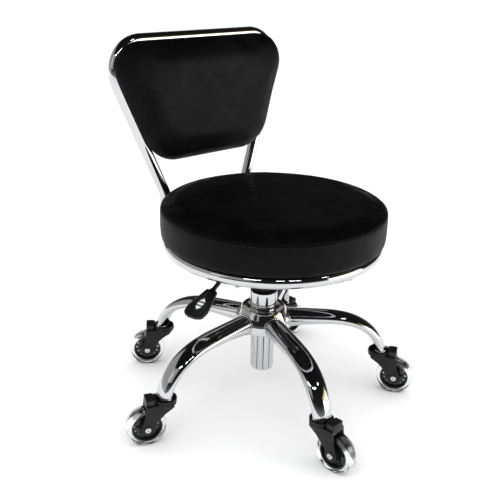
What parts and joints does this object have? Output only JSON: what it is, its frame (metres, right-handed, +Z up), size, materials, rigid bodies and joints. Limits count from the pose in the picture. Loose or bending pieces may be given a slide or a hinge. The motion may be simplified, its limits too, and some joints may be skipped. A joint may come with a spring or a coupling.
{
  "type": "rolling stool",
  "caption": "Rolling salon stool with a round padded seat, hooped padded backrest, gas lift, lever and star base on swivel casters.",
  "frame": {"origin": "on the floor, under the axis of the gas lift and the hub", "axes": "+Z up along the gas lift; the seat faces -Y and the backrest is on +Y; +X is the seated person's left"},
  "size_m": [0.5781, 0.5832, 0.7004],
  "materials": {
    "chrome": "mirror polished chrome plate",
    "plated_steel": "zinc plated, satin",
    "black_steel": "black powder coat",
    "black_nylon": "moulded satin black",
    "vinyl": "smooth satin black vinyl-coated fabric over foam",
    "plywood": "plain plywood",
    "clear_tyre": "clear glossy polyurethane",
    "brass": "machined"
  },
  "bodies": {
    "base": {"base_hub": "chrome", "leg_1": "chrome", "leg_2": "chrome", "leg_3": "chrome", "leg_4": "chrome", "leg_5": "chrome", "gas_lift_outer_tube": "chrome", "guide_bushing": "black_nylon", "fluted_sleeve": "chrome", "thrust_bearing": "plated_steel", "caster_stem_1": "plated_steel", "caster_stem_2": "plated_steel", "caster_stem_3": "plated_steel", "caster_stem_4": "plated_steel", "caster_stem_5": "plated_steel"},
    "rod": {"piston_rod": "plated_steel", "piston_head": "brass"},
    "seat": {"lift_cylinder": "black_steel", "mounting_plate": "black_steel", "seat_board": "plywood", "seat_cushion": "vinyl", "seat_ring": "chrome", "backrest_hoop": "chrome", "backrest_board": "plywood", "backrest_pad": "vinyl", "backrest_crossbar": "black_steel", "lever_pivot_pin": "plated_steel", "seat_bolt_1": "plated_steel", "seat_bolt_2": "plated_steel", "seat_bolt_3": "plated_steel", "seat_bolt_4": "plated_steel", "hoop_bolt_1": "plated_steel", "hoop_bolt_2": "plated_steel", "backrest_screw_1": "plated_steel", "backrest_screw_2": "plated_steel", "backrest_screw_3": "plated_steel", "backrest_screw_4": "plated_steel"},
    "lever": {"lever_rod": "black_steel", "lever_paddle": "black_nylon"},
    "valve": {"valve_pin": "plated_steel"},
    "caster_1": {"caster_fork_1": "black_nylon", "wheel_axle_1": "plated_steel"},
    "wheel_1": {"wheel_core_1": "black_nylon", "wheel_tyre_1": "clear_tyre"},
    "caster_2": {"caster_fork_2": "black_nylon", "wheel_axle_2": "plated_steel"},
    "wheel_2": {"wheel_core_2": "black_nylon", "wheel_tyre_2": "clear_tyre"},
    "caster_3": {"caster_fork_3": "black_nylon", "wheel_axle_3": "plated_steel"},
    "wheel_3": {"wheel_core_3": "black_nylon", "wheel_tyre_3": "clear_tyre"},
    "caster_4": {"caster_fork_4": "black_nylon", "wheel_axle_4": "plated_steel"},
    "wheel_4": {"wheel_core_4": "black_nylon", "wheel_tyre_4": "clear_tyre"},
    "caster_5": {"caster_fork_5": "black_nylon", "wheel_axle_5": "plated_steel"},
    "wheel_5": {"wheel_core_5": "black_nylon", "wheel_tyre_5": "clear_tyre"}
  },
  "joints": [
    {"name": "seat_swivel", "type": "hinge", "parent": "base", "child": "rod", "pos_m": [0, 0, 0.08], "axis": [0, 0, 1], "continuous": true},
    {"name": "seat_lift", "type": "slide", "parent": "rod", "child": "seat", "axis": [0, 0, 1], "range_m": [0, 0.1]},
    {"name": "lever_lift", "type": "hinge", "parent": "seat", "child": "lever", "pos_m": [-0.02318, -0.00621, 0.34], "axis": [-0.2588, 0.9659, 0], "range_deg": [0, 8], "stiffness_Nm_per_rad": 1.5, "springref_deg": -11.46},
    {"name": "valve_press", "type": "slide", "parent": "seat", "child": "valve", "axis": [0, 0, -1], "range_m": [0, 0.0035]},
    {"name": "caster_swivel_1", "type": "hinge", "parent": "base", "child": "caster_1", "pos_m": [-0.06914, -0.23191, 0.09], "axis": [0, 0, 1], "continuous": true},
    {"name": "wheel_spin_1", "type": "hinge", "parent": "caster_1", "child": "wheel_1", "pos_m": [-0.06543, -0.26722, 0.0375], "axis": [0.9945, 0.1045, 0], "continuous": true},
    {"name": "caster_swivel_2", "type": "hinge", "parent": "base", "child": "caster_2", "pos_m": [0.1992, -0.13742, 0.09], "axis": [0, 0, 1], "continuous": true},
    {"name": "wheel_spin_2", "type": "hinge", "parent": "caster_2", "child": "wheel_2", "pos_m": [0.21801, -0.16752, 0.0375], "axis": [0.848, 0.5299, 0], "continuous": true},
    {"name": "caster_swivel_3", "type": "hinge", "parent": "base", "child": "caster_3", "pos_m": [0.19225, 0.14699, 0.09], "axis": [0, 0, 1], "continuous": true},
    {"name": "wheel_spin_3", "type": "hinge", "parent": "caster_3", "child": "wheel_3", "pos_m": [0.22773, 0.14822, 0.0375], "axis": [-0.0349, 0.9994, 0], "continuous": true},
    {"name": "caster_swivel_4", "type": "hinge", "parent": "base", "child": "caster_4", "pos_m": [-0.08038, 0.22826, 0.09], "axis": [0, 0, 1], "continuous": true},
    {"name": "wheel_spin_4", "type": "hinge", "parent": "caster_4", "child": "wheel_4", "pos_m": [-0.10946, 0.24862, 0.0375], "axis": [-0.5736, -0.8192, 0], "continuous": true},
    {"name": "caster_swivel_5", "type": "hinge", "parent": "base", "child": "caster_5", "pos_m": [-0.24193, -0.00591, 0.09], "axis": [0, 0, 1], "continuous": true},
    {"name": "wheel_spin_5", "type": "hinge", "parent": "caster_5", "child": "wheel_5", "pos_m": [-0.27484, 0.00739, 0.0375], "axis": [-0.3746, -0.9272, 0], "continuous": true}
  ],
  "couplings": [
    {"joint": "valve_press", "follows": "lever_lift", "m_per_rad": 0.024}
  ]
}
